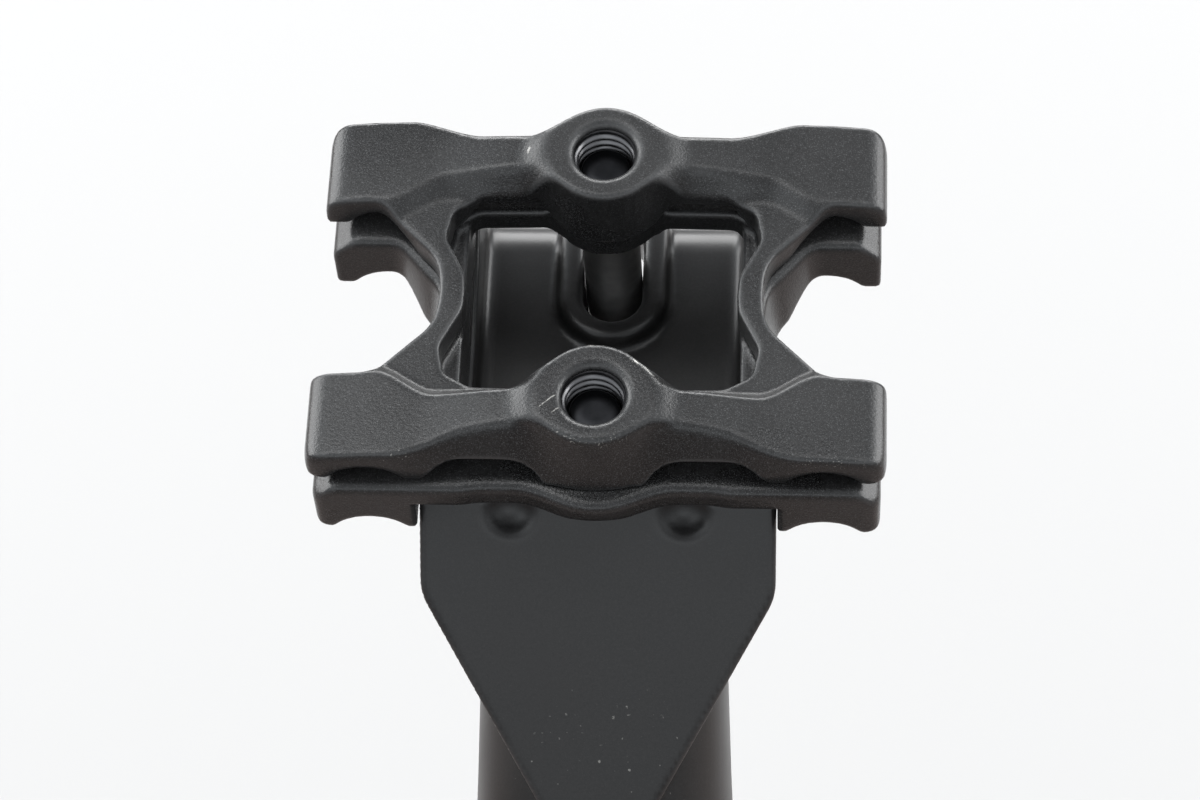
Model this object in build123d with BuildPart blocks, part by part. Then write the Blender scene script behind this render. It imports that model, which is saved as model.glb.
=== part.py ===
from build123d import *
from math import cos, radians, sin, sqrt, tan
import os

# Two-bolt bicycle seatpost: straight tube, swept neck, shield-fronted head and an H-shaped saddle clamp.
# Millimetres. Z runs up the tube from the middle of its lower end, Y points rearwards, X across.

os.makedirs("parts", exist_ok=True)

# Tube and neck
tube_diameter = 27.2
tube_wall = 2.3
tube_edge = 0.6
neck_root_radius = 11.8
neck_taper = radians(2.0)
bend_radius = 34.0
bore_stop = 14.0

# Clamp position: the split between the two clamps, above the tube's lower end and behind its axis
post_length = 350.0
setback = 23.4
nose_down = radians(18)

# Saddle rails and bolts
rail_spacing = 44.0
rail_radius = 3.5
bolt_spacing = 28.0
bolt_diameter = 6.0
bolt_head_diameter = 10.0
bolt_head_height = 6.0
hex_socket = 5.0
hex_depth = 3.0
bolt_sink = 3.2
thread_clearance = 0.1
bolt_clearance = 0.5

# Upper clamp
upper_lip = 3.1
upper_flare = 0.2
wing_inner = 9.85
wing_outer = 19.7
wing_height = 4.4
bar_crest = 5.9
bar_outer = 17.3
boss_height = 7.2
boss_radius = 5.6
boss_draft = radians(6)
groove_height = 1.55
rail_top = 3.4
waist_outer = 15.8
upper_waist_half = 3.6
waist_inner = 13.3
window_half_width = 15.5
window_end = 11.2
bar_arch = 2.2
mouth_chamfer = 0.9

# Lower clamp
lower_lip = 2.5
lower_flare = -1.4
lower_waist_half = 2.4
lower_wing_inner = 7.5
lower_wing_depth = 7.2
lower_arch_height = 1.5
lower_chamfer = 2.1
lower_front = 20.8
lower_bar = 20.5
bar_depth = 2.9
bulge_reach = 22.5
bulge_radius = 6.2
rib_inner = 13.7
rib_outer = 15.7
window_growth = 0.25
rib_end = 16.8

# Head
cradle_radius = 37.5
cradle_drop = 10.4
slip = 0.3
plate_front = 18.4
plate_lean = radians(29)
plate_width = 34.9
plate_straight = 9.6
v_length = 32.4
head_draft = 4.5
head_rear = 22.8
rear_round = 3.4
trough_front = -9.0
trough_half_width = 13.4
floor_step = 5.2
floor_thickness = 5.0
slot_width = 6.5
slot_wall = 2.1
front_slot_length = 5.7
front_slot_ahead = 2.2
boss_rim = 1.5
boss_wall = 2.4
boss_nose = 5.3
dimple_radius = 2.1
dimple_x = 8.5
dimple_y = -18.7
dimple_floor = 9.9
pocket_radius = 5.8
pocket_front = 25.2

# Half-round washers
washer_radius = 6.5
washer_height = 2.4
washer_width = 10.4

# Places worked out from the sizes above
across = (1, 0, 0)
clamp_up = (0, -sin(nose_down), cos(nose_down))
clamp_back = (0, cos(nose_down), sin(nose_down))
clamp_origin = (0, setback, post_length)
clamp_plan = Plane(origin=clamp_origin, x_dir=across, z_dir=clamp_up)
clamp_front = Plane(origin=clamp_origin, x_dir=across, z_dir=(0, -cos(nose_down), -sin(nose_down)))
clamp_side = Plane(origin=clamp_origin, x_dir=clamp_back, z_dir=across)
rail_x = rail_spacing / 2
bolt_y = bolt_spacing / 2
tube_radius = tube_diameter / 2
bolt_radius = bolt_diameter / 2
groove_radius = rail_radius + 0.1
groove_x = sqrt(groove_radius**2 - (groove_radius - groove_height) ** 2)
arch_x = sqrt(groove_radius**2 - (groove_radius - lower_arch_height) ** 2)
upper_half_width = rail_x + groove_x + upper_lip
lower_half_width = rail_x + arch_x + lower_lip
cradle_height = cradle_radius - cradle_drop
wing_root = plate_width / 2 + slip
floor_top = cradle_drop + floor_step
floor_bottom = floor_top + floor_thickness
span = 3 * upper_half_width

lean = plate_lean + nose_down
plate_top_z = cradle_height - sqrt(cradle_radius**2 - plate_front**2)
axis_lean = lean - neck_taper
axis_y = -plate_front + neck_root_radius * cos(lean)
axis_z = plate_top_z - neck_root_radius * sin(lean)
plate_length = plate_straight + v_length


def in_post(y, z):
    """Y and Z in the post of a point in the clamp's side view."""
    return (
        setback + y * cos(nose_down) - z * sin(nose_down),
        post_length + y * sin(nose_down) + z * cos(nose_down),
    )


root_y, root_z = in_post(axis_y, axis_z)
sweep_angle = plate_lean - neck_taper
neck_length = root_y / sin(sweep_angle)
corner_z = root_z - neck_length * cos(sweep_angle)
bend_reach = bend_radius * tan(sweep_angle / 2)
bend_start_z = corner_z - bend_reach
bend_end_radius = neck_root_radius + (neck_length - bend_reach) * tan(neck_taper)


def bend_section(part):
    """Plane and radius of the neck at a part of the bend, 0 at the tube and 1 at the straight neck."""
    turn = sweep_angle * part
    plane = Plane(
        origin=(0, bend_radius * (1 - cos(turn)), bend_start_z + bend_radius * sin(turn)),
        x_dir=across,
        z_dir=(0, sin(turn), cos(turn)),
    )
    return plane, tube_radius + (bend_end_radius - tube_radius) * part


def frame_plan(half_width, flare, inner, outer, bar, waist, waist_half, corner):
    """Plan of an H-shaped clamp without its window: two winged bars joined by two side rails."""
    with BuildSketch() as plan:
        with BuildLine():
            quarter = [
                (0, bar),
                (10.5, bar),
                (14.2, outer),
                (half_width, outer),
                (half_width, inner),
                (rail_x + flare, inner),
                (waist + 0.3, waist_half),
                (waist, 0),
            ]
            FilletPolyline(*quarter, radius=[3.0, 3.0, corner, corner, 2.5, 5.0])
            Line((waist, 0), (0, 0))
            Line((0, 0), (0, bar))
        make_face()
        mirror(about=Plane.XZ)
        mirror(about=Plane.YZ)
    return plan.sketch


def window_plan(waist, half_width, end):
    """Plan of the window inside an H-shaped clamp."""
    with BuildSketch() as plan:
        with BuildLine():
            quarter = [(waist, 0), (waist + 0.2, 2.0), (half_width, 6.2), (half_width - 0.6, end - 1.6)]
            quarter += [(waist - 1.0, end - 0.3), (0, end)]
            FilletPolyline(*quarter, radius=[3.0, 2.0, 1.6, 2.0])
            Line((0, end), (0, 0))
            Line((0, 0), (waist, 0))
        make_face()
        mirror(about=Plane.XZ)
        mirror(about=Plane.YZ)
    return plan.sketch


# Post: tube, bend, neck and head in one piece
with BuildPart() as post:
    plate_y = -plate_front - plate_length * sin(lean)
    plate_z = plate_top_z - plate_length * cos(lean)
    tip_y, tip_z = in_post(plate_y, plate_z)
    plate_plane = Plane(
        origin=(0, tip_y, tip_z),
        x_dir=across,
        z_dir=(0, -cos(plate_lean), sin(plate_lean)),
    )
    with BuildSketch(plate_plane):
        with BuildLine():
            Polyline(
                (0, 0),
                (plate_width / 2, v_length),
                (plate_width / 2, plate_length + head_rear + cradle_drop),
                (-plate_width / 2, plate_length + head_rear + cradle_drop),
                (-plate_width / 2, v_length),
                close=True,
            )
        make_face()
    extrude(amount=-70, taper=head_draft)
    down = neck_length + 6
    foot = (axis_y - down * sin(axis_lean), axis_z - down * cos(axis_lean))
    rise = (-floor_bottom - axis_z) / cos(axis_lean)
    knee = (axis_y + rise * sin(axis_lean), -floor_bottom)
    with BuildSketch(clamp_side):
        with BuildLine():
            Polyline(
                (-plate_front - 30, foot[1]),
                foot,
                knee,
                (head_rear, -floor_bottom),
                (head_rear, -cradle_drop),
                (plate_front, 4),
                (-plate_front - 30, 4),
                close=True,
            )
        make_face()
    extrude(amount=span, both=True, mode=Mode.INTERSECT)
    with BuildSketch(clamp_side):
        with Locations((0, cradle_height)):
            Circle(cradle_radius)
    extrude(amount=span, both=True, mode=Mode.SUBTRACT)

    # Neck, bend and tube
    neck_stop = 7.0
    end_plane, end_radius = bend_section(1)
    with BuildSketch(end_plane):
        Circle(end_radius)
    with BuildSketch(end_plane.offset(neck_length - bend_reach - neck_stop)):
        Circle(neck_root_radius + neck_stop * tan(neck_taper))
    loft(ruled=True)
    for step in range(5):
        bend_plane, section_radius = bend_section(step / 4)
        with BuildSketch(bend_plane):
            Circle(section_radius)
    loft()
    with BuildSketch(Plane.XY):
        Circle(tube_radius)
    extrude(amount=bend_start_z)
    with BuildSketch(Plane.XZ):
        with BuildLine():
            bore_radius = tube_radius - tube_wall
            Polyline(
                (0, 0),
                (bore_radius, 0),
                (bore_radius, bend_start_z - bore_stop),
                (0, bend_start_z - bore_stop + bore_radius * 0.6),
                close=True,
            )
        make_face()
    revolve(axis=Axis.Z, mode=Mode.SUBTRACT)
    chamfer(post.edges().group_by(Axis.Z)[0], tube_edge)

    # Trough with the raised seat round the rear bolt slot
    with BuildSketch(clamp_plan.offset(-floor_top)):
        with Locations((0, trough_front)):
            Rectangle(trough_half_width * 2, span, align=(Align.CENTER, Align.MIN))
    extrude(amount=span / 2, mode=Mode.SUBTRACT)
    floor_end = Vector(in_post(head_rear, -floor_top))
    floor_edges = post.edges().filter_by(Axis.X)
    fillet(floor_edges.sort_by_distance((0, floor_end.X, floor_end.Y))[0], rear_round)
    seat_half = slot_width / 2 + boss_wall
    with BuildSketch(clamp_plan.offset(-floor_bottom)):
        with Locations((0, boss_nose + seat_half)):
            Circle(seat_half)
            Rectangle(seat_half * 2, head_rear - boss_nose - seat_half, align=(Align.CENTER, Align.MIN))
    extrude(amount=floor_bottom - floor_top + boss_rim)
    with BuildSketch(clamp_plan.offset(-floor_bottom - 1)):
        slot_start = boss_nose + seat_half
        slot_end = head_rear - slot_wall - slot_width / 2
        with Locations((0, slot_start), (0, slot_end)):
            Circle(slot_width / 2)
        with Locations((0, slot_start)):
            Rectangle(slot_width, slot_end - slot_start, align=(Align.CENTER, Align.MIN))
    extrude(amount=floor_bottom, mode=Mode.SUBTRACT)

    # Front bolt slot, and the pocket that lets its head in from behind the neck
    with BuildSketch(clamp_plan.offset(-floor_bottom - 1)):
        front_start = -bolt_y - front_slot_ahead
        with Locations((0, front_start), (0, front_start + front_slot_length)):
            Circle(slot_width / 2)
        with Locations((0, front_start)):
            Rectangle(slot_width, front_slot_length, align=(Align.CENTER, Align.MIN))
    extrude(amount=floor_bottom, mode=Mode.SUBTRACT)
    with BuildSketch(clamp_plan.offset(-floor_bottom)):
        with Locations((0, pocket_radius - pocket_front)):
            Circle(pocket_radius)
            Rectangle(pocket_radius * 2, span, align=(Align.CENTER, Align.MIN))
    extrude(amount=-span / 2, mode=Mode.SUBTRACT)

    # Two drilled dimples in the plate's top edge
    with BuildSketch(clamp_plan.offset(-dimple_floor)):
        with Locations((dimple_x, dimple_y), (-dimple_x, dimple_y)):
            Circle(dimple_radius)
    extrude(amount=floor_bottom, mode=Mode.SUBTRACT)
post.part.label = "post"
export_step(post.part, "parts/post.step")

# Lower clamp: winged H plate with two round-bellied ribs that rock in the head's cradle
with BuildPart() as lower_clamp:
    belly_radius = cradle_radius - slip
    deep = belly_radius - cradle_height
    lower_plan = frame_plan(
        lower_half_width,
        lower_flare,
        lower_wing_inner,
        lower_front,
        lower_bar,
        waist_outer,
        lower_waist_half,
        1.2,
    )
    with BuildSketch(clamp_plan):
        add(lower_plan)
        with Locations((0, bulge_reach - bulge_radius), (0, bulge_radius - bulge_reach)):
            Circle(bulge_radius)
        lower_window = window_plan(
            waist_inner + window_growth,
            window_half_width + window_growth,
            window_end + window_growth,
        )
        add(lower_window, mode=Mode.SUBTRACT)
        with Locations((0, bolt_y), (0, -bolt_y)):
            Circle(bolt_radius + bolt_clearance + 2.2)
    extrude(amount=-deep)
    with BuildSketch(clamp_front):
        with BuildLine():
            arch_top = lower_arch_height - lower_wing_depth
            Polyline(
                (0, 0),
                (lower_half_width - lower_chamfer, 0),
                (lower_half_width, -lower_chamfer),
                (lower_half_width, -lower_wing_depth),
                (rail_x + arch_x, -lower_wing_depth),
            )
            ThreePointArc(
                (rail_x + arch_x, -lower_wing_depth),
                (rail_x, arch_top),
                (rail_x - arch_x, -lower_wing_depth),
            )
            Polyline(
                (rail_x - arch_x, -lower_wing_depth),
                (rib_outer, -lower_wing_depth),
                (rib_outer, -deep),
                (rib_inner, -deep),
                (rib_inner, -bar_depth),
                (0, -bar_depth),
                (0, 0),
            )
        make_face()
        mirror(about=Plane.YZ)
    extrude(amount=span, both=True, mode=Mode.INTERSECT)
    with BuildSketch(clamp_side):
        Rectangle(span, span)
        with Locations((0, cradle_height)):
            Circle(belly_radius, mode=Mode.SUBTRACT)
    extrude(amount=wing_root, both=True, mode=Mode.SUBTRACT)
    with BuildSketch(clamp_plan.offset(-bar_depth)):
        with Locations((0, rib_end), (0, -rib_end - span)):
            Rectangle(wing_root * 2, span, align=(Align.CENTER, Align.MIN))
    extrude(amount=-span, mode=Mode.SUBTRACT)
    with BuildSketch(clamp_plan):
        with Locations((0, bolt_y), (0, -bolt_y)):
            Circle(bolt_radius + bolt_clearance)
    extrude(amount=-span, mode=Mode.SUBTRACT)
lower_clamp.part.label = "lower_clamp"
export_step(lower_clamp.part, "parts/lower_clamp.step")

# Upper clamp: winged H frame, a threaded boss in each bar, rail grooves under the wings
with BuildPart() as upper_clamp:
    with BuildSketch(clamp_plan):
        upper_plan = frame_plan(
            upper_half_width,
            upper_flare,
            wing_inner,
            wing_outer,
            bar_outer,
            waist_outer,
            upper_waist_half,
            1.8,
        )
        add(upper_plan)
        add(window_plan(waist_inner, window_half_width, window_end), mode=Mode.SUBTRACT)
    extrude(amount=bar_crest)
    with BuildSketch(clamp_front):
        with BuildLine():
            flange_x = rail_x - groove_x - 2.4
            Polyline(
                (0, bar_crest),
                (9.0, bar_crest),
                (14.5, wing_height),
                (upper_half_width - 2.2, wing_height),
            )
            ThreePointArc(
                (upper_half_width - 2.2, wing_height),
                (upper_half_width - 0.65, wing_height - 0.65),
                (upper_half_width, wing_height - 2.2),
            )
            Polyline(
                (upper_half_width, wing_height - 2.2),
                (upper_half_width, 0.7),
                (upper_half_width - 0.7, 0),
                (rail_x + groove_x, 0),
            )
            ThreePointArc((rail_x + groove_x, 0), (rail_x, groove_height), (rail_x - groove_x, 0))
            Line((rail_x - groove_x, 0), (flange_x, 0))
            ThreePointArc((flange_x, 0), ((flange_x + boss_radius) / 2, bar_arch), (boss_radius, 0))
            Polyline((boss_radius, 0), (0, 0), (0, bar_crest))
        make_face()
        mirror(about=Plane.YZ)
    extrude(amount=span, both=True, mode=Mode.INTERSECT)
    with BuildSketch(clamp_side):
        with Locations((0, rail_top)):
            Rectangle(wing_inner * 2 - 1.6, span, align=(Align.CENTER, Align.MIN))
    extrude(amount=span, both=True, mode=Mode.SUBTRACT)
    for y in (-bolt_y, bolt_y):
        boss_axis = Axis(clamp_plan.from_local_coords((0, y, 0)), clamp_up)
        boss_foot = boss_radius + boss_height * tan(boss_draft)
        with BuildSketch(clamp_side):
            with BuildLine():
                Polyline((y, 0), (y + boss_foot, 0), (y + boss_radius, boss_height), (y, boss_height), close=True)
            make_face()
        revolve(axis=boss_axis)
        hole_radius = bolt_radius + thread_clearance
        with BuildSketch(clamp_side):
            with BuildLine():
                Polyline(
                    (y, 0),
                    (y + hole_radius, 0),
                    (y + hole_radius, boss_height - mouth_chamfer),
                    (y + hole_radius + mouth_chamfer, boss_height),
                    (y, boss_height),
                    close=True,
                )
            make_face()
        revolve(axis=boss_axis, mode=Mode.SUBTRACT)
upper_clamp.part.label = "upper_clamp"
export_step(upper_clamp.part, "parts/upper_clamp.step")

# Bolts and half-round washers, the same at the front and the rear
seat_z = -floor_bottom - slip - washer_height
bolt_end = boss_height - bolt_sink
for name, y in (("front", -bolt_y), ("rear", bolt_y)):
    with BuildPart() as bolt:
        with BuildSketch(clamp_plan.offset(seat_z)):
            with Locations((0, y)):
                Circle(bolt_head_diameter / 2)
        extrude(amount=-bolt_head_height)
        with BuildSketch(clamp_plan.offset(seat_z)):
            with Locations((0, y)):
                Circle(bolt_radius)
        extrude(amount=bolt_end - seat_z)
        with BuildSketch(clamp_plan.offset(seat_z - bolt_head_height)):
            with Locations((0, y)):
                RegularPolygon(hex_socket / sqrt(3), 6)
        extrude(amount=hex_depth, mode=Mode.SUBTRACT)
        tip = bolt.edges().filter_by(GeomType.CIRCLE).sort_by(Axis(clamp_origin, clamp_up))
        chamfer(tip[-1], 0.5)
        chamfer(tip.filter_by(lambda edge: edge.radius > bolt_diameter * 0.7)[0], 0.4)
    bolt.part.label = f"{name}_bolt"
    export_step(bolt.part, f"parts/{name}_bolt.step")

    with BuildPart() as washer:
        with BuildSketch(clamp_side):
            with Locations((y, seat_z + washer_height - washer_radius)):
                Circle(washer_radius)
            with Locations((y, seat_z)):
                Rectangle(washer_radius * 2, washer_radius * 4, align=(Align.CENTER, Align.MAX), mode=Mode.SUBTRACT)
        extrude(amount=washer_width / 2, both=True)
        with BuildSketch(clamp_plan.offset(seat_z - 1)):
            with Locations((0, y)):
                Circle(bolt_radius + 0.2)
        extrude(amount=washer_height + 2, mode=Mode.SUBTRACT)
    washer.part.label = f"{name}_washer"
    export_step(washer.part, f"parts/{name}_washer.step")
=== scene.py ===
import math

import bpy
import numpy as np
from mathutils import Matrix, Vector


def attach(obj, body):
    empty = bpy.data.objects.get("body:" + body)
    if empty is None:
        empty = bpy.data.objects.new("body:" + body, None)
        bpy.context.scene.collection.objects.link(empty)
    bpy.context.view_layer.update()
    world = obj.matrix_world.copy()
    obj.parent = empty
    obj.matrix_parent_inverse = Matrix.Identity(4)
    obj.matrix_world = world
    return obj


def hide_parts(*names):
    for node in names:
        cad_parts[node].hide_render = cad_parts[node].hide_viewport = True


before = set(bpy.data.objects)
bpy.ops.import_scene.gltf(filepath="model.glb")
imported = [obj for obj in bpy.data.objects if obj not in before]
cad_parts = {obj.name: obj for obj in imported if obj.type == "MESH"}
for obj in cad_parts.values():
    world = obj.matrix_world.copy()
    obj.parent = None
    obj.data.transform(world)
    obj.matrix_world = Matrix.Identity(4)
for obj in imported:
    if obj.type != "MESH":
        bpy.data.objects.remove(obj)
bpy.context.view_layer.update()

scene = bpy.context.scene

# Sizes in millimetres. The clamp's own axes: x across, y rearwards, z out of the split between the clamps.
TILT = math.radians(18)
SETBACK, LENGTH = 23.4, 350.0
BACK = Vector((0, math.cos(TILT), math.sin(TILT)))
UP = Vector((0, -math.sin(TILT), math.cos(TILT)))
SPLIT = Vector((0, SETBACK, LENGTH))
RAIL_X, GROOVE, MOUTH = 22.0, 3.6, 1.7
BOLT_Y, PITCH = 14.0, 1.0
PIVOT = 27.1


def clamp_point(x, y, z):
    """A point in the clamp's axes, in metres of the row frame."""
    return (SPLIT + Vector((x, 0, 0)) + BACK * y + UP * z) / 1000


def smooth(t):
    """A soft step from 0 to 1."""
    t = np.clip(t, 0, 1)
    return t * t * (3 - 2 * t)


def join(a, b, k):
    """Two shapes as one, with a fillet where they come within k of each other."""
    h = np.maximum(k - np.abs(a - b), 0) / k
    return np.minimum(a, b) - h * h * k / 4


def meet(a, b, k):
    """What two shapes share, its edge rounded over k."""
    return -join(-a, -b, k)


def rounded(points, radii):
    """A closed outline whose corners are arcs."""
    out = []
    n = len(points)
    for i, r in enumerate(radii):
        p = np.array(points[i], float)
        a = np.array(points[i - 1], float) - p
        b = np.array(points[(i + 1) % n], float) - p
        if r == 0:
            out.append(p)
            continue
        a, b = a / np.linalg.norm(a), b / np.linalg.norm(b)
        half = math.acos(np.clip(a @ b, -1, 1)) / 2
        mid = (a + b) / np.linalg.norm(a + b)
        centre = p + mid * r / math.sin(half)
        start, end = p + a * r / math.tan(half), p + b * r / math.tan(half)
        for s in np.linspace(0, 1, 9):
            v = start * (1 - s) + end * s - centre
            out.append(centre + v / np.linalg.norm(v) * r)
    return np.array(out)


def outline(x, y, pts):
    """Signed distance to a closed outline, negative inside."""
    best = None
    inside = np.zeros(np.broadcast(x, y).shape, bool)
    for p, q in zip(pts, np.roll(pts, -1, axis=0)):
        ex, ey = q - p
        wx, wy = x - p[0], y - p[1]
        t = np.clip((wx * ex + wy * ey) / max(ex * ex + ey * ey, 1e-12), 0, 1)
        d = (wx - ex * t) ** 2 + (wy - ey * t) ** 2
        best = d if best is None else np.minimum(best, d)
        if ey != 0:
            crosses = ((p[1] > y) != (q[1] > y)) & (x < p[0] + ex * (y - p[1]) / ey)
            inside = inside ^ crosses
    return np.where(inside, -1.0, 1.0) * np.sqrt(best)


def surface(shape, low, high, step):
    """Vertices and quads of a shape's zero surface, from a grid, settled onto the shape itself."""
    axes = [np.arange(a, b + step, step, dtype=np.float32) for a, b in zip(low, high)]
    field = shape(axes[0][:, None, None], axes[1][None, :, None], axes[2][None, None, :]).astype(np.float32)
    size = field.shape
    solid = field < 0
    cells = tuple(s - 1 for s in size)
    total = np.zeros(cells + (3,), np.float32)
    count = np.zeros(cells, np.float32)
    for axis in range(3):
        lo, hi = [slice(None)] * 3, [slice(None)] * 3
        lo[axis], hi[axis] = slice(0, -1), slice(1, None)
        fa, fb = field[tuple(lo)], field[tuple(hi)]
        cut = solid[tuple(lo)] != solid[tuple(hi)]
        t = np.where(cut, fa / np.where(cut, fa - fb, 1), 0)
        others = [k for k in range(3) if k != axis]
        for da in (0, 1):
            for db in (0, 1):
                pick = [slice(None)] * 3
                pick[others[0]] = slice(da, da + cells[others[0]])
                pick[others[1]] = slice(db, db + cells[others[1]])
                c, tt = cut[tuple(pick)], t[tuple(pick)]
                count += c
                total[..., axis] += tt
                total[..., others[0]] += c * da
                total[..., others[1]] += c * db
    used = count > 0
    index = np.full(cells, -1, np.int64)
    index[used] = np.arange(used.sum())
    place = np.argwhere(used) + total[used] / count[used][:, None]
    verts = place * step + np.array([a[0] for a in axes])
    faces = []
    for axis in range(3):
        lo, hi = [slice(None)] * 3, [slice(None)] * 3
        lo[axis], hi[axis] = slice(0, -1), slice(1, None)
        a, b = solid[tuple(lo)], solid[tuple(hi)]
        u, v = (axis + 1) % 3, (axis + 2) % 3
        inner = np.zeros(a.shape, bool)
        keep = [slice(None)] * 3
        keep[u], keep[v] = slice(1, -1), slice(1, -1)
        inner[tuple(keep)] = True
        for way in (0, 1):
            at = np.argwhere(inner & ((a & ~b) if way == 0 else (~a & b)))
            ring = []
            for du, dv in ((-1, -1), (0, -1), (0, 0), (-1, 0)):
                c = at.copy()
                c[:, u] += du
                c[:, v] += dv
                ring.append(index[c[:, 0], c[:, 1], c[:, 2]])
            quad = np.stack(ring if way == 0 else ring[::-1], axis=1)
            faces.append(quad)
    faces = np.concatenate(faces)
    start = verts.copy()
    e = step * 0.1
    for _ in range(4):
        x, y, z = verts.T
        d = shape(x, y, z)
        g = np.stack([shape(x + e, y, z) - d, shape(x, y + e, z) - d, shape(x, y, z + e) - d], axis=1) / e
        move = g * (d / np.maximum((g * g).sum(1), 0.2))[:, None]
        verts = np.clip(verts - np.clip(move, -step * 0.4, step * 0.4), start - step * 0.9, start + step * 0.9)
    return verts, faces


def sharpness(shape, verts, reach=0.35):
    """How sharply the surface turns outwards at each vertex, per millimetre."""
    x, y, z = np.asarray(verts).T
    total = -6 * shape(x, y, z)
    for dx, dy, dz in ((reach, 0, 0), (0, reach, 0), (0, 0, reach)):
        total = total + shape(x + dx, y + dy, z + dz) + shape(x - dx, y - dy, z - dz)
    return total / reach**2


def piece(name, verts, faces, in_clamp=False, edges=None):
    """A smooth mesh object from millimetre vertices, with a value for its edges, where the material paints wear
    and highlight.
    """
    v = np.asarray(verts, float)
    if in_clamp:
        basis = np.array([(1, 0, 0), tuple(BACK), tuple(UP)])
        v = v @ basis + np.array(tuple(SPLIT))
    mesh = bpy.data.meshes.new(name)
    mesh.from_pydata((v / 1000).tolist(), [], [list(map(int, f)) for f in faces])
    mesh.polygons.foreach_set("use_smooth", [True] * len(mesh.polygons))
    if edges is not None:
        mesh.attributes.new("edge", "FLOAT", "POINT").data.foreach_set("value", np.asarray(edges, np.float32))
    mesh.update()
    obj = bpy.data.objects.new(name, mesh)
    scene.collection.objects.link(obj)
    return obj


def groove(ax, ay, z, height, flare, near, far):
    """The round groove for a saddle rail, wider at both mouths, positive inside it."""
    mouth = flare * (smooth((ay - far) / MOUTH) ** 2 + smooth((near - ay) / MOUTH) ** 2)
    return GROOVE + mouth - np.sqrt((ax - RAIL_X) ** 2 + (z + height + mouth * 0.25) ** 2)


def long_hole(x, y, half, low, high):
    """A slot along y with round ends, positive inside it."""
    run = np.clip(y, low, high)
    return half - np.sqrt(x * x + (y - run) ** 2)


# Upper clamp
UPPER_OUT = rounded(
    [
        (-8, 24), (40, 24), (40, 9.85), (22.2, 9.85), (16.1, 3.6),
        (15.8, 0), (16.1, -3.6), (22.2, -9.85), (22, -16), (-8, -16),
    ],
    [0, 0, 0, 2.5, 5, 0, 5, 0, 0, 0],
)
UPPER_WIN = rounded(
    [
        (-6, 11.3), (12.3, 10.9), (14.9, 9.4), (15.5, 6.3), (13.4, 2.0),
        (13.3, 0), (13.4, -2.0), (15.5, -6.3), (14, -12), (-6, -12),
    ],
    [0, 2.2, 1.6, 2.2, 4, 0, 4, 0, 0, 0],
)
BOSS, BOSS_TOP, BOSS_DRAFT, BOSS_BORE = 5.6, 7.2, 0.1, 3.12
WAIST_TOP, WING_TOP, BAR_RISE, CROWN = 3.3, 4.45, 1.45, 0.0062
WING_FRONT, BAR_FRONT, BAR_SLOPE = 19.7, 16.9, 0.55
UPPER_END, UPPER_UNDER, ARCH = 28.06, 0.15, 2.3


def upper(x, y, z):
    ax, ay = np.abs(x), np.abs(y)
    away = np.sqrt(x * x + (ay - BOLT_Y) ** 2)
    boss = away - BOSS - np.clip(BOSS_TOP - z, 0, 8) * BOSS_DRAFT
    # Top: flat waists, then a shoulder up to the wings and bars, then the bosses
    crest = WING_TOP + BAR_RISE * smooth((17.5 - ax) / 9.5) - CROWN * np.clip(ax - 16.5, 0, 13) ** 2
    shoulder = 12.6 - 2.75 * smooth((ax - 15.5) / 6.0)
    slope = np.where(y < 0, 1.8, 3.0)
    base = WAIST_TOP + (crest - WAIST_TOP) * smooth((ay - shoulder) / slope + 0.75)
    top = z - base - (BOSS_TOP - base) * smooth((9.0 - away) / 3.6)
    # Front: upright at the wings, set back and sloping at the bars
    tall = smooth((z - 0.8) / 2.6)
    bar = smooth((16.6 + 3.2 * tall - ax) / (2.4 + 5.2 * tall))
    reach = WING_FRONT - bar * (WING_FRONT - (BAR_FRONT + BAR_SLOPE * np.clip(5.9 - z, 0, 9)))
    front = join((ay - reach) * (1 - 0.12 * bar), boss, 2.4)
    window = meet(outline(ax, ay, UPPER_WIN), -boss, 1.6)
    plan = np.maximum(outline(ax, ay, UPPER_OUT), -window)
    end = ax - UPPER_END
    body = meet(meet(meet(top, end, 2.6), front, 0.8), plan, 0.5)
    body = meet(body, meet(end, front, 2.4), 0.6)
    # Underside: arches under the bars, grooves under the wings
    arch = ARCH * np.clip(1 - ((ax - 10.7) / 5.9) ** 4, 0, 1)
    over_bar = smooth((ay - 9.6) / 1.6)
    body = meet(body, UPPER_UNDER + arch * over_bar - UPPER_UNDER * over_bar - z, 0.4)
    body = meet(body, groove(ax, ay, z, 2.05, 0.7, 11.6, 18.0), 0.4)
    hole = BOSS_BORE + np.clip(z - 6.7, 0, 2) - away
    return meet(body, hole, 0.35)


# Lower clamp
LOWER_OUT = rounded(
    [
        (-8, 30), (40, 30), (40, 7.5), (20.6, 7.5), (16.1, 2.4),
        (15.8, 0), (16.1, -2.4), (20.6, -7.5), (22, -16), (-8, -16),
    ],
    [0, 0, 0, 2.5, 5, 0, 5, 0, 0, 0],
)
LOWER_WIN = rounded(
    [
        (-6, 11.5), (12.6, 11.2), (15.1, 9.8), (15.75, 6.2), (13.75, 2.0),
        (13.55, 0), (13.75, -2.0), (15.75, -6.2), (14, -12), (-6, -12),
    ],
    [0, 2.0, 1.6, 2.0, 3, 0, 3, 0, 0, 0],
)
LOWER_FRONT, LOWER_END = 20.5, 27.42
BAR_UNDER, WING_UNDER = -2.9, -7.2
BELLY, RIB_IN, RIB_OUT = 37.2, 13.7, 15.7
EYE, EYE_BORE = 5.7, 3.5


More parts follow.
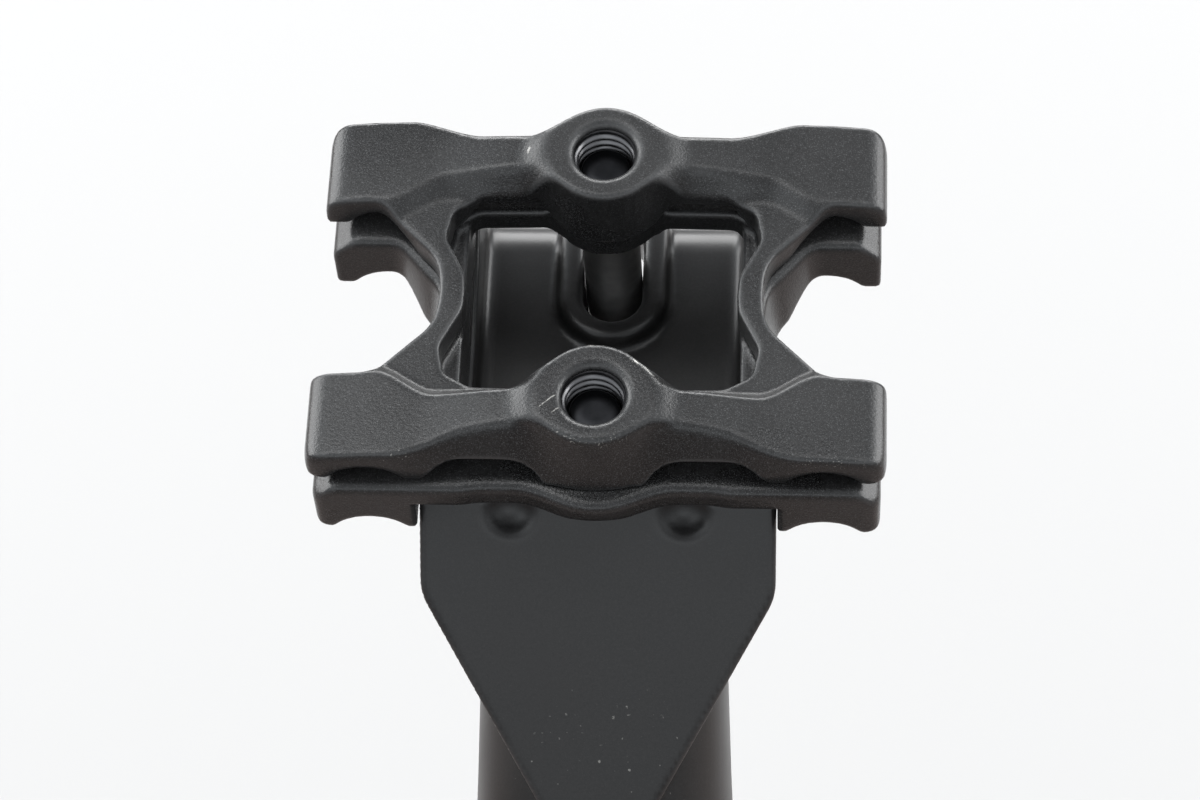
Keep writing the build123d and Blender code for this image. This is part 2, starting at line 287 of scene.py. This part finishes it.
def lower(x, y, z):
    ax, ay = np.abs(x), np.abs(y)
    away = np.sqrt(x * x + (ay - BOLT_Y) ** 2)
    bulge = np.sqrt(x * x + (ay - 16.3) ** 2) - 6.2
    front = join(ay - LOWER_FRONT - 0.3 * smooth((ax - 10.5) / 3), bulge, 3.0)
    end = ax - LOWER_END
    window = -outline(ax, ay, LOWER_WIN)
    side = outline(ax, ay, LOWER_OUT) - 0.16 * np.clip(-z, 0, 8) * smooth((21.5 - ax) / 4)
    plan = meet(side, meet(front, end, 1.6), 0.5)
    # Underside: thin bars, deep wings, and a round belly that clears the cradle
    from_pivot = np.sqrt(y * y + (z - PIVOT) ** 2)
    ends = smooth((ay - 16.0) / 0.8)
    block = np.maximum(WING_UNDER - z, RIB_OUT + 1.8 * ends - ax)
    belly = np.minimum(from_pivot - BELLY, 17.5 - ax)
    under = np.maximum(np.minimum(BAR_UNDER - z, block), belly)
    corner = (ax - 25.32 + z) * 0.7071
    body = meet(meet(meet(plan, z, 0.9), corner, 0.5), under, 0.5)
    body = meet(body, groove(ax, ay, z, 9.3, 0.6, 9.2, 18.9), 0.4)
    # Eyes for the bolts, and the ribs that rock in the cradle
    eye = np.maximum(np.maximum(away - EYE, z), BAR_UNDER - z)
    body = join(meet(body, window, 0.6), eye, 1.2)
    rib = np.maximum(RIB_IN - ax, ax - RIB_OUT)
    rib = meet(meet(rib, ay - 16.8, 0.6), from_pivot - BELLY, 0.4)
    rib = np.maximum(np.maximum(rib, side), z + 1.0)
    body = join(body, rib, 0.8)
    return np.maximum(body, EYE_BORE - away)


# Post: head, neck and bend
LEAN = math.radians(47)
CRADLE = 37.5
PLATE_Y = -18.4
PLATE_Z = PIVOT - math.sqrt(CRADLE**2 - PLATE_Y**2)
PLATE_HALF, PLATE_LENGTH = 17.45, 42.0
V_ANGLE = math.atan(PLATE_HALF / 32.4)
DRAFT = math.tan(math.radians(4.5))
HEAD_REAR, HEAD_UNDER = 22.8, -20.6
TROUGH_HALF, TROUGH_FRONT, TROUGH_FLOOR, TROUGH_END = 13.4, -9.0, -15.6, 6.5
SLOT_BOSS, SLOT_BOSS_Y, SLOT_BOSS_TOP = 5.65, 11.0, -14.1
POCKET, POCKET_Y = 5.8, -19.4
TUBE_OUT, TUBE_IN = 13.6, 11.3
NECK = math.radians(2)
AXIS = LEAN - NECK
NECK_ROOT = 11.8
ROOT_Y = PLATE_Y + NECK_ROOT * math.cos(LEAN)
ROOT_Z = PLATE_Z - NECK_ROOT * math.sin(LEAN)
SWEEP = math.radians(29) - NECK
root_y = SETBACK + ROOT_Y * math.cos(TILT) - ROOT_Z * math.sin(TILT)
root_z = LENGTH + ROOT_Y * math.sin(TILT) + ROOT_Z * math.cos(TILT)
NECK_LENGTH = root_y / math.sin(SWEEP)
BEND = 34.0
BEND_REACH = BEND * math.tan(SWEEP / 2)
BEND_Z = root_z - NECK_LENGTH * math.cos(SWEEP) - BEND_REACH
BEND_END = NECK_ROOT + (NECK_LENGTH - BEND_REACH) * math.tan(NECK)
SEAM = BEND_Z - 5.0


def post_shape(x, yy, zz):
    ax = np.abs(x)
    dy, dz = yy - SETBACK, zz - LENGTH
    y = dy * math.cos(TILT) + dz * math.sin(TILT)
    z = -dy * math.sin(TILT) + dz * math.cos(TILT)
    # Head: the shield plate and its drafted sides, cut off behind and below, with the round cradle on top
    plate = -(y - PLATE_Y) * math.cos(LEAN) + (z - PLATE_Z) * math.sin(LEAN)
    along = (y - PLATE_Y) * math.sin(LEAN) + (z - PLATE_Z) * math.cos(LEAN) + PLATE_LENGTH
    draft = plate * DRAFT
    side = ax * math.cos(V_ANGLE) - along * math.sin(V_ANGLE) - draft
    side = meet(ax - PLATE_HALF - draft, side, 0.7)
    behind = (y - ROOT_Y) * math.cos(AXIS) - (z - ROOT_Z) * math.sin(AXIS)
    low = np.minimum(HEAD_UNDER - z, behind)
    rear = meet(y - HEAD_REAR, ((y - HEAD_REAR) * 14.4 + (z + 10.4) * 4.4) / 15.06, 1.0)
    block = meet(meet(plate, side, 0.7), meet(rear, low, 1.6), 1.2)
    from_pivot = np.sqrt(y * y + (z - PIVOT) ** 2)
    block = meet(block, CRADLE - from_pivot, 0.5)
    # Neck: a cone, then the bend, then the tube with a lip that hides the seam
    down = -((y - ROOT_Y) * math.sin(AXIS) + (z - ROOT_Z) * math.cos(AXIS))
    cone = (np.sqrt(x * x + behind**2) - NECK_ROOT - down * math.tan(NECK)) * math.cos(NECK)
    turn = np.arctan2(zz - BEND_Z, BEND - yy)
    part = np.clip(turn / SWEEP, 0, 1)
    ring = np.sqrt(x * x + (BEND - np.sqrt((BEND - yy) ** 2 + (zz - BEND_Z) ** 2)) ** 2)
    ring = ring - TUBE_OUT - (BEND_END - TUBE_OUT) * part
    lip = 0.02 * smooth((SEAM + 2.0 - zz) / 1.0)
    tube = np.sqrt(x * x + yy * yy) - TUBE_OUT + lip
    neck = np.where(zz < BEND_Z, tube, np.where(turn < SWEEP, ring, np.maximum(cone, 7.0 - down)))
    soft = 0.05 + 2.2 * smooth((behind + 2.0) / 7.0)
    body = join(block, neck, soft)
    # Trough, its floor rounded off towards the rear, with the raised rim of the rear slot
    drop = TROUGH_END - np.sqrt(TROUGH_END**2 - np.clip(y - 16.5, 0, 6.2) ** 2)
    trough = meet(meet(ax - TROUGH_HALF, TROUGH_FRONT - y, 1.2), TROUGH_FLOOR - drop - z, 1.6)
    body = meet(body, -trough, 0.5)
    boss = np.where(y > SLOT_BOSS_Y, ax, np.sqrt(x * x + (y - SLOT_BOSS_Y) ** 2))
    rim = meet(meet(boss - SLOT_BOSS, z - SLOT_BOSS_TOP, 1.2), y - HEAD_REAR, 0.8)
    body = join(body, np.maximum(rim, HEAD_UNDER - z), 1.0)
    # Slots for both bolts, the pocket for the front bolt's head, and the plate's dimples
    body = meet(body, long_hole(x, y, 3.03, 10.95, 17.45), 1.0)
    body = np.maximum(body, long_hole(x, y, 3.25, -16.2, -10.5))
    pocket = np.where(y > POCKET_Y, ax, np.sqrt(x * x + (y - POCKET_Y) ** 2)) - POCKET
    body = meet(body, -np.maximum(pocket, z - HEAD_UNDER), 0.6)
    dimple = np.sqrt((ax - 8.5) ** 2 + (along - 40.8) ** 2 + (plate - 2.1) ** 2) - 3.2
    return meet(body, -dimple, 0.5)


TURNS, TUBE_TURNS, THREAD_ROWS = 72, 192, 10


def lathe(profile, turns=TURNS):
    """Vertices and faces of a profile of (radius, height) turned about z."""
    n = len(profile)
    verts, faces = [], []
    for k in range(turns):
        a = 2 * math.pi * k / turns
        verts += [(r * math.cos(a), r * math.sin(a), h) for r, h in profile]
    for k in range(turns):
        for i in range(n - 1):
            a, b = k * n + i, ((k + 1) % turns) * n + i
            faces.append((a, b, b + 1, a + 1))
    return verts, faces


def helix(radius, depth, low, high, inward):
    """A threaded wall: rings whose radius follows a thread form, one turn per pitch."""
    rows = int((high - low) / PITCH * THREAD_ROWS)
    fade_in = 0.6 * PITCH
    verts, faces = [], []
    for h in np.linspace(low, high, rows + 1):
        fade = min(1.0, (h - low) / fade_in, (high - h) / fade_in)
        for k in range(TURNS):
            a = 2 * math.pi * k / TURNS
            s = (h / PITCH - k / TURNS) % 1.0
            form = min(1.0, max(0.0, (abs(s - 0.5) - 0.08) / 0.34))
            r = radius + (-1 if inward else 1) * depth * form * max(fade, 0)
            verts.append((r * math.cos(a), r * math.sin(a), h))
    for i in range(rows):
        for k in range(TURNS):
            n = (k + 1) % TURNS
            quad = (i * TURNS + k, i * TURNS + n, (i + 1) * TURNS + n, (i + 1) * TURNS + k)
            faces.append(quad[::-1] if inward else quad)
    return verts, faces


def shifted(verts, y):
    return [(a, b + y, c) for a, b, c in verts]


GRID = 0.34
v, f = surface(upper, (-28.5, -20.6, -0.6), (28.5, 20.6, 7.8), GRID)
upper_obj = piece("upper_clamp_forged", v, f, True, sharpness(upper, v))
v, f = surface(lower, (-28, -23, -10.8), (28, 23, 0.6), GRID)
lower_obj = piece("lower_clamp_forged", v, f, True, sharpness(lower, v))
head_verts, head_faces = surface(post_shape, (-18, -15.5, SEAM), (18, 52.6, 354), GRID * 1.2)
tube_profile = [
    (TUBE_OUT, SEAM + 1.0), (TUBE_OUT, 200), (TUBE_OUT, 100), (TUBE_OUT, 0.6), (13.45, 0.2), (13.0, 0),
    (11.9, 0), (11.45, 0.2), (TUBE_IN, 0.6), (TUBE_IN, 100), (TUBE_IN, BEND_Z - 14), (0.01, BEND_Z - 7.2),
]
tube_verts, tube_faces = lathe(tube_profile, TUBE_TURNS)
post_verts = list(map(tuple, head_verts)) + tube_verts
shift = len(head_verts)
post_faces = [tuple(f) for f in head_faces] + [tuple(i + shift for i in f)[::-1] for f in tube_faces]
post_edges = np.concatenate([sharpness(post_shape, head_verts), np.zeros(len(tube_verts))])
post_obj = piece("post_forged", post_verts, post_faces, False, post_edges)

BOLT_SEAT, BOLT_END = -23.3, 4.0
SHANK, BOLT_HEAD, HEAD_HEIGHT = 2.95, 5.0, 6.0
HEX_FLAT, HEX_RIM = 2.5, 3.2
BOLT_ROOT, BOLT_THREAD = 2.3, 0.36


def bolt_mesh(y):
    """A socket-head bolt, its plain shank and its threaded end, in the clamp's axes."""
    verts, faces = [], []

    def add(v, f):
        n = len(verts)
        verts.extend(v)
        faces.extend(tuple(i + n for i in q) for q in f)

    foot = BOLT_SEAT - HEAD_HEIGHT
    body = [(2.35, -0.9), (2.7, -1.0), (SHANK, -1.3), (SHANK, BOLT_SEAT), (4.65, BOLT_SEAT)]
    body += [(BOLT_HEAD, BOLT_SEAT - 0.35), (BOLT_HEAD, BOLT_SEAT - 5.5), (4.5, foot), (HEX_RIM, foot)]
    v, f = lathe(body)
    add(v, [q[::-1] for q in f])
    hexa, quads = [], []
    for k in range(TURNS):
        a = 2 * math.pi * k / TURNS
        flat = HEX_FLAT / math.cos((a + math.pi / 6) % (math.pi / 3) - math.pi / 6)
        socket = ((HEX_RIM, foot), (flat, BOLT_SEAT - 5.7), (flat, BOLT_SEAT - 3.0), (0.0, BOLT_SEAT - 2.5))
        hexa += [(r * math.cos(a), r * math.sin(a), h) for r, h in socket]
    for k in range(TURNS):
        for i in range(3):
            a, b = 4 * k + i, 4 * ((k + 1) % TURNS) + i
            quads.append((a, a + 1, b + 1, b))
    add(hexa, quads)
    add(*helix(BOLT_ROOT, BOLT_THREAD, -1.0, BOLT_END - 0.5, False))
    tip = [(BOLT_ROOT, BOLT_END - 0.5), (2.5, BOLT_END - 0.4), (2.46, BOLT_END - 0.15)]
    tip += [(2.25, BOLT_END), (1.0, BOLT_END), (0.0, BOLT_END)]
    add(*lathe(tip))
    return shifted(verts, y), faces


BOSS_ROOT, BOSS_THREAD = 3.1, 0.38
pieces = {}
for name, y in (("front", -BOLT_Y), ("rear", BOLT_Y)):
    bolt = piece(name + "_bolt_threaded", *bolt_mesh(y), in_clamp=True)
    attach(bolt, name + "_screw")
    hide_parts(name + "_bolt")
    pieces[name] = bolt
    v, f = helix(BOSS_ROOT, BOSS_THREAD, 0.1, 6.3, True)
    thread = piece(name + "_boss_thread", shifted(v, y), f, in_clamp=True)
    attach(thread, "clamp")
    pieces[name + "_thread"] = thread

for obj, node, body, slot in (
    (upper_obj, "upper_clamp", "clamp", "clamp_black"),
    (lower_obj, "lower_clamp", "clamp", "clamp_black"),
    (post_obj, "post", "post", "post_black"),
):
    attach(obj, body)
    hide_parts(node)


class Socket:
    """A shader value: arithmetic on it makes nodes."""

    def __init__(self, tree, out):
        self.tree, self.out = tree, out

    def make(self, kind, settings, sockets, out=0):
        node = self.tree.nodes.new(kind)
        for key, value in settings.items():
            setattr(node, key, value)
        for key, value in sockets.items():
            if isinstance(value, Socket):
                self.tree.links.new(value.out, node.inputs[key])
            else:
                node.inputs[key].default_value = value
        return Socket(self.tree, node.outputs[out])

    def math(self, op, a, b):
        return self.make("ShaderNodeMath", {"operation": op}, {0: a, 1: b})

    def __add__(self, other): return self.math("ADD", self, other)
    def __radd__(self, other): return self.math("ADD", other, self)
    def __sub__(self, other): return self.math("SUBTRACT", self, other)
    def __rsub__(self, other): return self.math("SUBTRACT", other, self)
    def __mul__(self, other): return self.math("MULTIPLY", self, other)
    def __rmul__(self, other): return self.math("MULTIPLY", other, self)

    def ramp(self, low, high, to_low=0.0, to_high=1.0):
        sockets = {"Value": self, "From Min": low, "From Max": high, "To Min": to_low, "To Max": to_high}
        return self.make("ShaderNodeMapRange", {"interpolation_type": "SMOOTHSTEP"}, sockets)

    def mix(self, a, b):
        return self.make("ShaderNodeMix", {"data_type": "RGBA"}, {"Factor": self, "A": a, "B": b}, out=2)


def material(name):
    mat = bpy.data.materials.new(name)
    mat.use_nodes = True
    tree = mat.node_tree
    bsdf = tree.nodes["Principled BSDF"]
    coord = tree.nodes.new("ShaderNodeTexCoord")
    return mat, tree, bsdf, Socket(tree, coord.outputs["Object"])


def feed(tree, bsdf, values):
    for key, value in values.items():
        if isinstance(value, Socket):
            tree.links.new(value.out, bsdf.inputs[key])
        else:
            bsdf.inputs[key].default_value = value


def noise(p, scale, detail=2.0, rough=0.5):
    return p.make("ShaderNodeTexNoise", {}, {"Vector": p, "Scale": scale, "Detail": detail, "Roughness": rough})


def mark(p, start, end, width):
    """A nick or scratch between two points of the clamp, as a mask."""
    a, b = clamp_point(*start), clamp_point(*end)
    turn = tuple((b - a).to_track_quat("X", "Z").to_euler())
    scale = ((b - a).length / 2 + width / 2000, width / 2000, width / 1000)
    sockets = {"Vector": p, "Location": tuple((a + b) / 2), "Rotation": turn, "Scale": scale}
    spot = p.make("ShaderNodeMapping", {"vector_type": "TEXTURE"}, sockets)
    away = p.make("ShaderNodeVectorMath", {"operation": "LENGTH"}, {0: spot}, out="Value")
    return 1 - (away + (noise(p, 6000.0) - 0.5) * 2.4).ramp(0.4, 1.0)


# Colour of the edges painted lighter, as wear and painted highlight, and of the grain's specks; then the colour
# of nicks, chips and dust.
WORN_AND_HIGHLIGHT, NICKED = (0.30, 0.305, 0.31, 1), (0.50, 0.49, 0.46, 1)


def anodised(name, dark, light, gloss, grain, edge_wear_and_highlight, marks, dust):
    """Blasted black anodising, lighter along the edges as wear and painted highlight, with its nicks, scratches
    and dust.
    """
    mat, tree, bsdf, p = material(name)
    cloud = noise(p, 70.0, 4.0)
    fine = noise(p, 3600.0, 2.0, 0.6)
    tone = (cloud * 0.5 + fine * 0.5).ramp(0.38, 0.62)
    edge = p.make("ShaderNodeAttribute", {"attribute_name": "edge"}, {}, out="Fac")
    # Edges painted lighter and part metal: partly wear, partly painted highlight along the rounded edges. The
    # fine specks are grain.
    rubbed_and_highlight = (edge + (cloud - 0.5) * 1.2).ramp(0.5, 2.6) * (0.6 + 0.8 * fine) * edge_wear_and_highlight
    glint = p.math("MAXIMUM", rubbed_and_highlight, noise(p, 9000.0, 1.0).ramp(0.50, 0.80) * grain)
    colour = glint.mix(tone.mix((*dark, 1), (*light, 1)), WORN_AND_HIGHLIGHT)
    nicks = 0.0
    for start, end, width in marks:
        nicks = p.math("MAXIMUM", mark(p, start, end, width), nicks)
    for start, end, width, size, share in dust:
        specks = noise(p, 1000.0 / size, 0.0).ramp(1 - share, 1.08 - share)
        nicks = p.math("MAXIMUM", mark(p, start, end, width) * specks * 0.6, nicks)
    colour = nicks.mix(colour, NICKED)
    bump = p.make("ShaderNodeBump", {}, {"Strength": grain * 1.5, "Distance": 0.00006, "Height": fine})
    feed(tree, bsdf, {
        "Base Color": colour,
        "Roughness": cloud.ramp(0.3, 0.7, gloss - 0.04, gloss + 0.05),
        "Metallic": glint * 0.8,
        "Specular IOR Level": 0.75,
        "Normal": bump,
    })
    return mat


def metal(name, dark, light, gloss):
    """Metal with a slight change of tone; a darker copy is the painted shade on the bolt tips."""
    mat, tree, bsdf, p = material(name)
    tone = noise(p, 900.0, 3.0)
    feed(tree, bsdf, {"Base Color": tone.mix((*dark, 1), (*light, 1)), "Metallic": 1.0, "Roughness": gloss})
    return mat


# Scratches: start, end, width. Chips and dust: start, end, width, size of a speck, share of the ground.
CLAMP_MARKS = [
    ((-7.7, 14.2, 6.5), (-7.5, 15.0, 6.3), 0.34), ((-5.0, -15.4, 7.2), (-3.4, -13.9, 7.2), 0.14),
    ((-3.9, -16.2, 7.2), (-3.3, -15.6, 7.1), 0.16), ((3.7, -10.1, 7.1), (4.2, -10.6, 7.15), 0.30),
    ((4.6, -10.8, 7.15), (6.1, -12.2, 7.0), 0.26), ((-0.9, -8.6, 7.1), (-0.2, -8.5, 7.1), 0.2),
]
CLAMP_CHIPS = [
    ((-4.2, -17.9, 6.8), (-0.4, -19.6, 6.8), 0.8, 0.2, 0.34),
    ((0.2, -19.6, 6.8), (3.4, -18.4, 6.8), 0.8, 0.2, 0.32),
    ((17.0, -19.3, 4.0), (26.6, -19.5, 3.6), 0.8, 0.2, 0.30),
    ((-21.5, -19.5, 4.0), (-16.5, -19.0, 4.1), 0.8, 0.2, 0.30),
    ((2.9, -9.6, 7.1), (7.2, -12.8, 6.9), 0.8, 0.2, 0.34),
    ((-3.6, -8.9, 7.1), (2.0, -8.4, 7.1), 0.7, 0.2, 0.28),
]
PLATE_DUST = [((-5, -36, -22), (9, -38, -28), 8, 0.45, 0.22)]
# The edge value sets how strongly edges are painted lighter, as wear and as painted highlight.
clamp_mat = anodised(
    "clamp_black", dark=(0.011, 0.0107, 0.0106), light=(0.024, 0.0237, 0.0238),
    gloss=0.28, grain=0.42, edge_wear_and_highlight=0.2, marks=CLAMP_MARKS, dust=CLAMP_CHIPS,
)
post_mat = anodised(
    "post_black", dark=(0.014, 0.0137, 0.0136), light=(0.021, 0.0205, 0.0204),
    gloss=0.33, grain=0.05, edge_wear_and_highlight=0.2, marks=[], dust=PLATE_DUST,
)
thread_mat = metal("thread_worn", (0.16, 0.16, 0.165), (0.30, 0.30, 0.31), 0.3)
steel_mat = metal("bolt_steel", (0.22, 0.22, 0.22), (0.34, 0.335, 0.33), 0.42)
# The bolt tips, down in the bosses' bores, darker than the rest of the bolt: painted shade.
tip_shade_mat = metal("bolt_tip_painted_shade", (0.020, 0.021, 0.023), (0.045, 0.046, 0.05), 0.32)
SHADED_TIP_FROM = 3.3

for obj in (upper_obj, lower_obj):
    obj.data.materials.append(clamp_mat)
for name in ("front_thread", "rear_thread"):
    pieces[name].data.materials.append(thread_mat)
post_obj.data.materials.append(post_mat)
for name in ("front", "rear"):
    pieces[name].data.materials.append(steel_mat)
    pieces[name].data.materials.append(tip_shade_mat)
    # Faces near the tip take the darker copy of the steel, as painted shade.
    for face in pieces[name].data.polygons:
        face.material_index = int((face.center * 1000 - SPLIT).dot(UP) > SHADED_TIP_FROM)
    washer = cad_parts[name + "_washer"]
    washer.data.materials.clear()
    washer.data.materials.append(steel_mat)

# Floor: white to the camera and in reflections near the post, dimmer and warmer in the light that it throws back
bpy.ops.mesh.primitive_plane_add(size=8, location=(0, 1.0, 0))
floor = bpy.context.object
floor.name = "floor"
floor_mat, tree, bsdf, p = material("floor_white")
feed(tree, bsdf, {"Base Color": (0.26, 0.22, 0.205, 1), "Roughness": 0.9, "Specular IOR Level": 0.0})
seen = tree.nodes.new("ShaderNodeBsdfDiffuse")
seen.inputs["Color"].default_value = (0.62, 0.614, 0.608, 1)
path = tree.nodes.new("ShaderNodeLightPath")
to_eye, in_gloss, through = (
    Socket(tree, path.outputs[k]) for k in ("Is Camera Ray", "Is Glossy Ray", "Is Transmission Ray")
)
across, along = (p.make("ShaderNodeSeparateXYZ", {}, {0: p}, out=k) for k in range(2))
near = along.ramp(-0.9, -0.6) * (1 - along.ramp(0.6, 1.6))
near = near * (1 - p.make("ShaderNodeMath", {"operation": "ABSOLUTE"}, {0: across}).ramp(0.4, 0.9))
white = p.math("MAXIMUM", to_eye, p.math("MAXIMUM", in_gloss, through) * near)
either = tree.nodes.new("ShaderNodeMixShader")
tree.links.new(white.out, either.inputs["Fac"])
tree.links.new(bsdf.outputs["BSDF"], either.inputs[1])
tree.links.new(seen.outputs["BSDF"], either.inputs[2])
tree.links.new(either.outputs["Shader"], tree.nodes["Material Output"].inputs["Surface"])
floor.data.materials.append(floor_mat)

# Studio: dim all round, with a glow high at both sides and in front
world = bpy.data.worlds.new("studio")
scene.world = world
world.use_nodes = True
tree = world.node_tree
dim = tree.nodes["Background"]
dim.inputs["Color"].default_value = (0.34, 0.35, 0.365, 1)
bright = tree.nodes.new("ShaderNodeBackground")
bright.inputs["Color"].default_value = (1.0, 1.05, 1.09, 1)
way = Socket(tree, tree.nodes.new("ShaderNodeTexCoord").outputs["Generated"])
aside, ahead, rise = (way.make("ShaderNodeSeparateXYZ", {}, {0: way}, out=k) for k in range(3))
sides = way.math("MAXIMUM", (0 - aside).ramp(0.05, 0.7), 0.6 * aside.ramp(0.15, 0.8)) * rise.ramp(0.1, 0.5)
glow = way.math("MAXIMUM", sides, (0 - ahead).ramp(0.7, 0.95) * rise.ramp(0.1, 0.34))
both = tree.nodes.new("ShaderNodeMixShader")
tree.links.new(glow.out, both.inputs["Fac"])
tree.links.new(dim.outputs["Background"], both.inputs[1])
tree.links.new(bright.outputs["Background"], both.inputs[2])
tree.links.new(both.outputs["Shader"], tree.nodes["World Output"].inputs["Surface"])


def softbox(name, place, target, size, power):
    """A rectangular lamp turned to a target, in metres and watts."""
    light = bpy.data.lights.new(name, "AREA")
    light.shape = "RECTANGLE"
    light.size, light.size_y = size
    light.energy = power
    obj = bpy.data.objects.new(name, light)
    scene.collection.objects.link(obj)
    obj.location = place
    obj.rotation_euler = (Vector(target) - Vector(place)).to_track_quat("-Z", "Y").to_euler()


centre = clamp_point(0, 0, 4.4)
softbox("near_left", (-0.15, 0.01, 0.74), centre, (0.14, 0.22), 0.20)
softbox("near_right", (0.10, 0.01, 0.74), centre, (0.12, 0.22), 0.10)
softbox("left", (-0.9, 0.35, 0.65), centre, (0.9, 0.8), 6.5)
softbox("right", (0.95, 0.30, 0.65), centre, (0.9, 0.8), 7)
softbox("rear", (0.0, 1.3, 0.9), centre, (1.4, 0.7), 14)

# Camera, fitted to the photo: angles about the clamp's axes, distance in metres, the rest in pixels
ELEVATION, YAW, ROLL = math.radians(57.03), math.radians(6.08), math.radians(-4.76)
DISTANCE, FOCAL = 0.380, 3903.0
WIDTH, HEIGHT, AIM_X, AIM_Y = 1200, 800, 609.3, 285.9
SENSOR = 36.0
to_camera = Vector((1, 0, 0)) * (math.sin(YAW) * math.cos(ELEVATION))
to_camera += BACK * (-math.cos(YAW) * math.cos(ELEVATION)) + UP * math.sin(ELEVATION)
eye = centre + to_camera * DISTANCE
forward = -to_camera
right = forward.cross(UP).normalized()
high = right.cross(forward)
shift_x, shift_y = AIM_X - WIDTH / 2, HEIGHT / 2 - AIM_Y
forward = (forward - right * (shift_x / FOCAL) - high * (shift_y / FOCAL)).normalized()
right = forward.cross(UP).normalized()
high = right.cross(forward)
turned = right * math.cos(ROLL) + high * math.sin(ROLL)
high = turned.cross(forward)
camera_data = bpy.data.cameras.new("camera")
camera_data.sensor_width = SENSOR
camera_data.lens = FOCAL / WIDTH * SENSOR
camera_data.clip_start = 0.01
camera_data.clip_end = 20
camera = bpy.data.objects.new("camera", camera_data)
scene.collection.objects.link(camera)
basis = Matrix((turned, high, -forward)).transposed().to_4x4()
camera.matrix_world = Matrix.Translation(eye) @ basis
scene.camera = camera
scene.view_settings.view_transform = "Standard"
